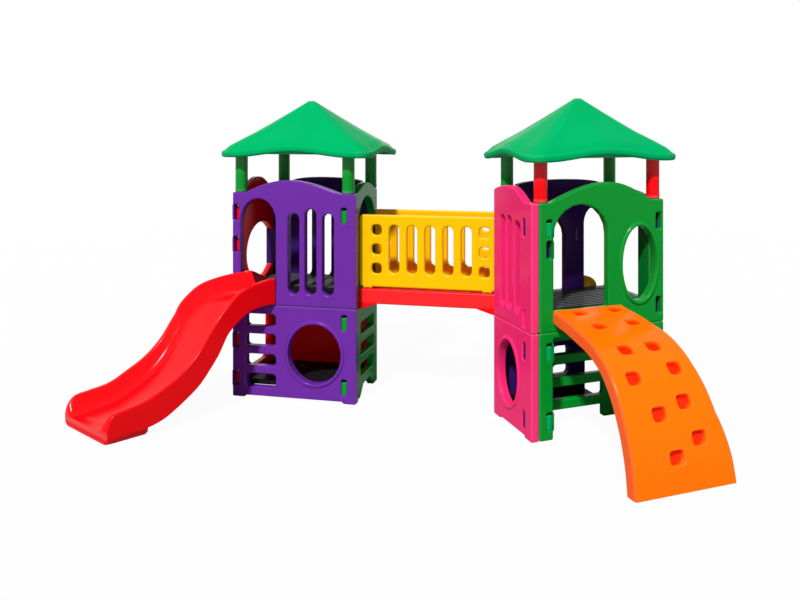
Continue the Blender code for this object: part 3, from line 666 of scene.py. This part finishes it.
slideShape = {
    "turn": 32.2,  # degrees
    "start": -0.756,
    "width": 0.70,
    "rimWidth": 0.045,
    "rimRoll": 0.02,
    "bedDepth": 0.13,
    "bedLowest": 0.11,
    "lipDepth": 0.012,
    "toeReach": 0.055,
    "toeRound": 0.035,
    "toeUnder": 0.045,
    "toeRoll": 0.01,  # the rims grow this much rounder towards the toe
    "toeFrom": 1.22,
    "flareEnd": 0.62,
    "flareCurve": ((-1.03, -0.003), (-1.25, -0.02), 0.12),  # start, handle, and the last handle's length
    "rimFall": 0.002,
    "innerSlopes": (0.035, 0.07),  # how far the near and the far wall run in
    "innerRounds": (0.07, 0.09),
    "underRound": 0.012,
    "roundSteps": 6,
    "slices": 90,
    "setback": 0.0004,
    # plan distance, near rim, far rim, underside
    "stations": ((0.0, 1.10, 1.155, 0.862), (0.13, 1.085, 1.13, 0.86), (0.27, 1.06, 1.08, 0.835),
                 (0.38, 1.01, 1.02, 0.765), (0.48, 0.925, 0.93, 0.675), (0.57, 0.83, 0.84, 0.52),
                 (0.66, 0.71, 0.72, 0.40), (0.76, 0.57, 0.58, 0.29), (0.90, 0.44, 0.45, 0.19),
                 (1.06, 0.35, 0.36, 0.10), (1.22, 0.285, 0.285, 0.06), (1.38, 0.26, 0.26, 0.04),
                 (1.46, 0.25, 0.25, 0.024), (1.50, 0.235, 0.235, 0.012), (1.53, 0.205, 0.205, 0.008),
                 (1.55, 0.165, 0.165, 0.014), (1.56, 0.12, 0.12, 0.04)),
}
slideTurn = math.radians(slideShape["turn"])
slideAhead = Vector((-math.sin(slideTurn), -math.cos(slideTurn)))
slideAside = Vector((-math.cos(slideTurn), math.sin(slideTurn)))


def slideFarSide(along):
    s = slideShape
    start = Vector((s["start"], 0))
    straight = start + slideAhead * max(along, s["flareEnd"]) + slideAside * s["width"]
    if along >= s["flareEnd"]:
        return straight
    t = along / s["flareEnd"]
    first, second, ease = s["flareCurve"]
    third = straight - slideAhead * ease
    return (Vector(first) * (1 - t) ** 3 + Vector(second) * (3 * t * (1 - t) ** 2)
            + third * (3 * t**2 * (1 - t)) + straight * t**3)


def slideSection(along, nearRim, farRim, low):
    s = slideShape
    reach = max(0.0, (along - s["toeFrom"]) / (s["stations"][-1][0] - s["toeFrom"]))
    near = Vector((s["start"], 0)) + slideAhead * along
    far = slideFarSide(along + s["toeReach"] * reach)
    width = (far - near).length
    across = (far - near) / width
    bed = min(max(nearRim - s["bedDepth"], s["bedLowest"]), nearRim - s["lipDepth"])
    rimWidth, fall, (nearSlope, farSlope) = s["rimWidth"], s["rimFall"], s["innerSlopes"]
    outline = [(0, low), (0, nearRim), (rimWidth, nearRim - fall), (rimWidth + nearSlope, bed),
               (width - rimWidth - farSlope, bed), (width - rimWidth, farRim - fall),
               (width, farRim), (width, low)]
    under, roll = s["underRound"] + s["toeUnder"] * reach, s["rimRoll"] + s["toeRoll"] * reach
    radii = [under, roll, s["rimRoll"], *s["innerRounds"], s["rimRoll"], roll, under]
    section = filletLoop(vectors(outline), radii, s["roundSteps"])
    spots = []
    for x, z in section:
        back = s["toeRound"] * reach * abs(2 * x / width - 1) ** 3
        spots.append(Vector((*(near + across * x - slideAhead * back), z)) + shift)
    return spots


stations, slices = slideShape["stations"], slideShape["slices"]
rings = [slideSection(*through(stations, i * (len(stations) - 1) / slices)) for i in range(slices + 1)]
shape = loft(rings)
bmesh.ops.translate(shape, verts=shape.verts, vec=(0, -slideShape["setback"], 0))
finishPiece("moulded_slide", shape, "red", "slide")

# The far rim runs on into the tower as a wing that sinks to the deck
wing = {
    "thickness": 0.03,
    "roll": 0.01,
    "bottom": 1.0,
    # how far in, across, and height
    "stations": ((-0.012, -1.03, 1.155), (0.05, -1.022, 1.148), (0.12, -1.014, 1.125), (0.2, -1.006, 1.09),
                 (0.28, -0.998, 1.06), (0.36, -0.99, 1.04)),
}
rings = []
for inward, right, high in wing["stations"]:
    left, bottom, roll = right - wing["thickness"], wing["bottom"], wing["roll"]
    outline = vectors(((left, bottom), (left, high), (right, high), (right, bottom)))
    rings.append([shift + Vector((x, inward, z)) for x, z in filletLoop(outline, [0, roll, roll, 0])])
finishPiece("slide_wing", loft(rings), "red")

# The foot under the toe
foot = {
    "along": 1.35,
    "length": 0.36,
    "width": 0.64,
    "round": 0.05,
    "roundSteps": 6,
    # how far in, and height
    "levels": ((0.03, 0.0005), (0.012, 0.005), (0.002, 0.018), (0.0, 0.03), (0.0, 0.055), (0.0, 0.08)),
}
middle = Vector((slideShape["start"], 0)) + slideAhead * foot["along"]
middle += slideAside * slideShape["width"] / 2
rings = []
for inset, level in foot["levels"]:
    ahead, aside = slideAhead * (foot["length"] / 2 - inset), slideAside * (foot["width"] / 2 - inset)
    corners = [middle + ahead * u + aside * v for u, v in ((1, 1), (-1, 1), (-1, -1), (1, -1))]
    section = filletLoop(corners, foot["round"] - inset * 0.5, foot["roundSteps"])
    rings.append([shift + Vector((*p, level)) for p in section])
finishPiece("slide_foot", loft(rings), "red")
print("slide moulded")


# Climbing ramp: one curved body, its face pressed in for hands and feet
rampShape = {
    "left": 0.143,
    "thickness": 0.1,
    "roll": 0.02,
    "rollTurns": (30, 60, 90),
    "backRound": 0.006,
    "setback": 0.0004,  # from the tower and the ground
    # out from the tower, and height
    "face": ((0.0, 1.02), (0.08, 1.005), (0.22, 0.985), (0.38, 0.95), (0.53, 0.915), (0.66, 0.86),
             (0.79, 0.77), (0.91, 0.625), (1.0, 0.46), (1.055, 0.32), (1.095, 0.17), (1.12, 0.0)),
    # across the tower at the right edge, and out from it
    "rightEdge": ((0.78, 0.0), (0.825, 0.48), (0.85, 0.8), (0.9, 1.0), (0.98, 1.12)),
    "pocketHalf": (0.06, 0.05),  # across, along the face
    "pocketDepth": 0.045,
    "pocketPower": 4,  # 2 is an ellipse, more is squarer
    "pocketWall": (0.84, 1.04),  # where the wall starts and ends, as a share of the half sizes
    "pocketLip": (0.62, 0.55, 0.15, 0.8),  # slope along and across, where it starts, and how far it fills
    "pocketBead": (0.0022, 1.2, 0.12),  # height, place and width of the bead round the pocket
    "beadMost": 0.001,
    "paintedShadeFrom": 0.3,  # the share of a pocket's depth at which the painted shade starts, and is deepest
    "paintedShadeTo": 0.75,
    "sidePaintedShade": 0.4,  # how deep the painted shade on the ramp's sides is
    # distance along the face, and place across
    "pockets": ((0.075, 0.34), (0.075, 0.665), (0.335, 0.361), (0.325, 0.665), (0.672, 0.38),
                (0.667, 0.62), (0.912, 0.326), (0.875, 0.685), (1.175, 0.437), (1.115, 0.66),
                (1.465, 0.508), (1.362, 0.712)),
    "cells": (230, 480),  # across, along
}


def rampRight(out):
    edge = rampShape["rightEdge"]
    for (firstU, firstOut), (secondU, secondOut) in zip(edge, edge[1:]):
        if out <= secondOut:
            return firstU + (secondU - firstU) * (out - firstOut) / (secondOut - firstOut)
    return edge[-1][0]


# Steep at the top left, where the hand goes in, and a sloping lip at the bottom right
def pocketSink(distance, across):
    s = rampShape
    halfAcross, halfAlong = s["pocketHalf"]
    slopeAlong, slopeAcross, slopeFrom, fill = s["pocketLip"]
    beadHeight, beadPlace, beadWidth = s["pocketBead"]
    sink = 0.0
    for row, place in s["pockets"]:
        if abs(distance - row) > 2 * halfAlong or abs(across - place) > 2 * halfAcross:
            continue
        a, b = (distance - row) / halfAlong, (across - place) / halfAcross
        d = (abs(a) ** s["pocketPower"] + abs(b) ** s["pocketPower"]) ** (1 / s["pocketPower"])
        lip = min(max(slopeAlong * a + slopeAcross * b - slopeFrom, 0), 1)
        sink += s["pocketDepth"] * (1 - smoothStep(*s["pocketWall"], d)) * (1 - fill * lip)
        sink -= beadHeight * math.exp(-(((d - beadPlace) / beadWidth) ** 2))
    return sink


across, lengthwise = rampShape["cells"]
stations = rampShape["face"]
facePoints = [through(stations, i * (len(stations) - 1) / lengthwise) for i in range(lengthwise + 1)]
rollAngles = [math.radians(turn) for turn in rampShape["rollTurns"]]
rings, sinks = [], []
distance = 0.0
for i, point in enumerate(facePoints):
    if i:
        distance += (point - facePoints[i - 1]).length
    ahead = (facePoints[min(i + 1, lengthwise)] - facePoints[max(i - 1, 0)]).normalized()
    out = Vector((-ahead.y, ahead.x))
    left, right, roll = rampShape["left"], rampRight(point.x), rampShape["roll"]
    inner = point - out * rampShape["thickness"]
    inner = Vector((max(inner.x, 0.0), max(inner.y, 0.0)))
    # Across the face from left to right, over the right edge, along the back and up the left edge
    places = [left + roll + (right - left - 2 * roll) * k / across for k in range(across + 1)]
    depths = [pocketSink(distance, u) for u in places]
    ring = [(u, point - out * max(sink, -rampShape["beadMost"])) for u, sink in zip(places, depths)]
    for t in rollAngles:
        ring.append((right - roll + roll * math.sin(t), point - out * roll * (1 - math.cos(t))))
    toInner = inner - point
    depth = toInner.length
    down = toInner / depth if depth > 1e-6 else -out
    back = rampShape["backRound"]
    for edge, inward in ((right, -1), (left, 1)):
        for t in (0.0, 0.4, 1.0)[::-inward]:
            ring.append((edge + inward * back * t, point + down * (depth - back * (1 - t))))
    for t in rollAngles[::-1]:
        ring.append((left + roll - roll * math.sin(t), point - out * roll * (1 - math.cos(t))))
    least = rampShape["setback"]
    rings.append([towerB @ Vector((u, -spot.x - least, max(spot.y, least))) for u, spot in ring])
    sinks.append([max(sink, 0) for sink in depths] + [0] * (len(ring) - len(depths)))
shape = loft(rings)
# Painted shade: the orange is painted deeper down in the pockets and along the sides
paintedShadeLayer = shape.verts.layers.float.new("paintedShade")
for index, (vert, sink) in enumerate(zip(shape.verts, (value for row in sinks for value in row))):
    side = rampShape["sidePaintedShade"] if index % len(sinks[0]) > across + len(rollAngles) else 0
    share = sink / rampShape["pocketDepth"]
    vert[paintedShadeLayer] = max(side, smoothStep(rampShape["paintedShadeFrom"], rampShape["paintedShadeTo"], share))
finishPiece("moulded_climbing_ramp", shape, "orange", "climbing_ramp")
print("ramp moulded")


# Camera, from the photograph's straight edges
cameraSetup = {
    "place": (2.2738, -6.7292, 2.485),
    "ahead": (-0.2104, 0.9776),
    "lens": 35.835,
    "sensor": 36.0,
    "shift": (-0.0584, -0.21875),
}
cameraData = bpy.data.cameras.new("camera")
cameraData.lens = cameraSetup["lens"]
cameraData.sensor_width = cameraSetup["sensor"]
cameraData.shift_x, cameraData.shift_y = cameraSetup["shift"]
camera = bpy.data.objects.new("camera", cameraData)
camera.location = Vector(cameraSetup["place"]) + shift
aheadX, aheadY = cameraSetup["ahead"]
camera.rotation_euler = (math.pi / 2, 0, math.atan2(aheadY, aheadX) - math.pi / 2)
scene = bpy.context.scene
scene.collection.objects.link(camera)
scene.camera = camera

# Light: a broad key from the front left, and an even white room
light = {
    "keyStrength": 3.6,
    "keyAngle": 4.0,  # degrees, how soft its shadows are
    "keyFrom": 6.0,  # degrees to the left of straight ahead
    "keyHeight": 47.0,  # degrees
    "room": 0.3,
}
key = bpy.data.lights.new("key", "SUN")
key.energy = light["keyStrength"]
key.angle = math.radians(light["keyAngle"])
keyLamp = bpy.data.objects.new("key", key)
azimuth, height = math.radians(light["keyFrom"]), math.radians(light["keyHeight"])
level = math.cos(height)
toLight = Vector((-math.sin(azimuth) * level, -math.cos(azimuth) * level, math.sin(height)))
keyLamp.rotation_euler = toLight.to_track_quat("Z", "Y").to_euler()
scene.collection.objects.link(keyLamp)

world = bpy.data.worlds.new("white room")
scene.world = world
world.use_nodes = True
tree = world.node_tree
rays = addNode(tree, "ShaderNodeLightPath").outputs
# To the camera and in reflections the room is pure white, and as a light it is dimmer
seen = rays["Is Camera Ray"]
for kind in ("Is Glossy Ray", "Is Transmission Ray"):
    seen = addNode(tree, "ShaderNodeMath", {"operation": "MAXIMUM"}, {0: seen, 1: rays[kind]}).outputs[0]
backdrop = tree.nodes["Background"]
backdrop.inputs["Color"].default_value = (1, 1, 1, 1)
tree.links.new(ranged(tree, seen, light["room"], 1.0), backdrop.inputs["Strength"])

# Floor: matt white studio paper. It stays white to the camera, and darkens only in the shadow
paperFloor = {
    "roughness": 0.9,
    "grey": 0.4,
    "glow": 1.03,
    "glowShare": 0.93,  # how much of what the camera sees is the glow
    "radius": 14,
    "sides": 64,
    "drop": 0.001,
}
floorMaterial = bpy.data.materials.new("studioPaper")
floorMaterial.use_nodes = True
tree = floorMaterial.node_tree
paper = tree.nodes["Principled BSDF"]
paper.inputs["Roughness"].default_value = paperFloor["roughness"]
paper.inputs["Base Color"].default_value = (*[paperFloor["grey"]] * 3, 1)
white = addNode(tree, "ShaderNodeEmission", {"Color": (1, 1, 1, 1), "Strength": paperFloor["glow"]})
toCamera = addNode(tree, "ShaderNodeLightPath").outputs["Is Camera Ray"]
settings = {"operation": "MULTIPLY", 1: paperFloor["glowShare"]}
share = addNode(tree, "ShaderNodeMath", settings, {0: toCamera}).outputs[0]
mixer = addNode(tree, "ShaderNodeMixShader", None, {0: share, 1: paper.outputs[0], 2: white.outputs[0]})
tree.links.new(mixer.outputs[0], tree.nodes["Material Output"].inputs["Surface"])
shape = bmesh.new()
bmesh.ops.create_circle(shape, cap_ends=True, radius=paperFloor["radius"], segments=paperFloor["sides"])
mesh = bpy.data.meshes.new("floor")
shape.to_mesh(mesh)
shape.free()
mesh.materials.append(floorMaterial)
floor = bpy.data.objects.new("floor", mesh)
floor.location.z = -paperFloor["drop"]
scene.collection.objects.link(floor)

scene.view_settings.view_transform = "Standard"
print("camera, light and floor set")
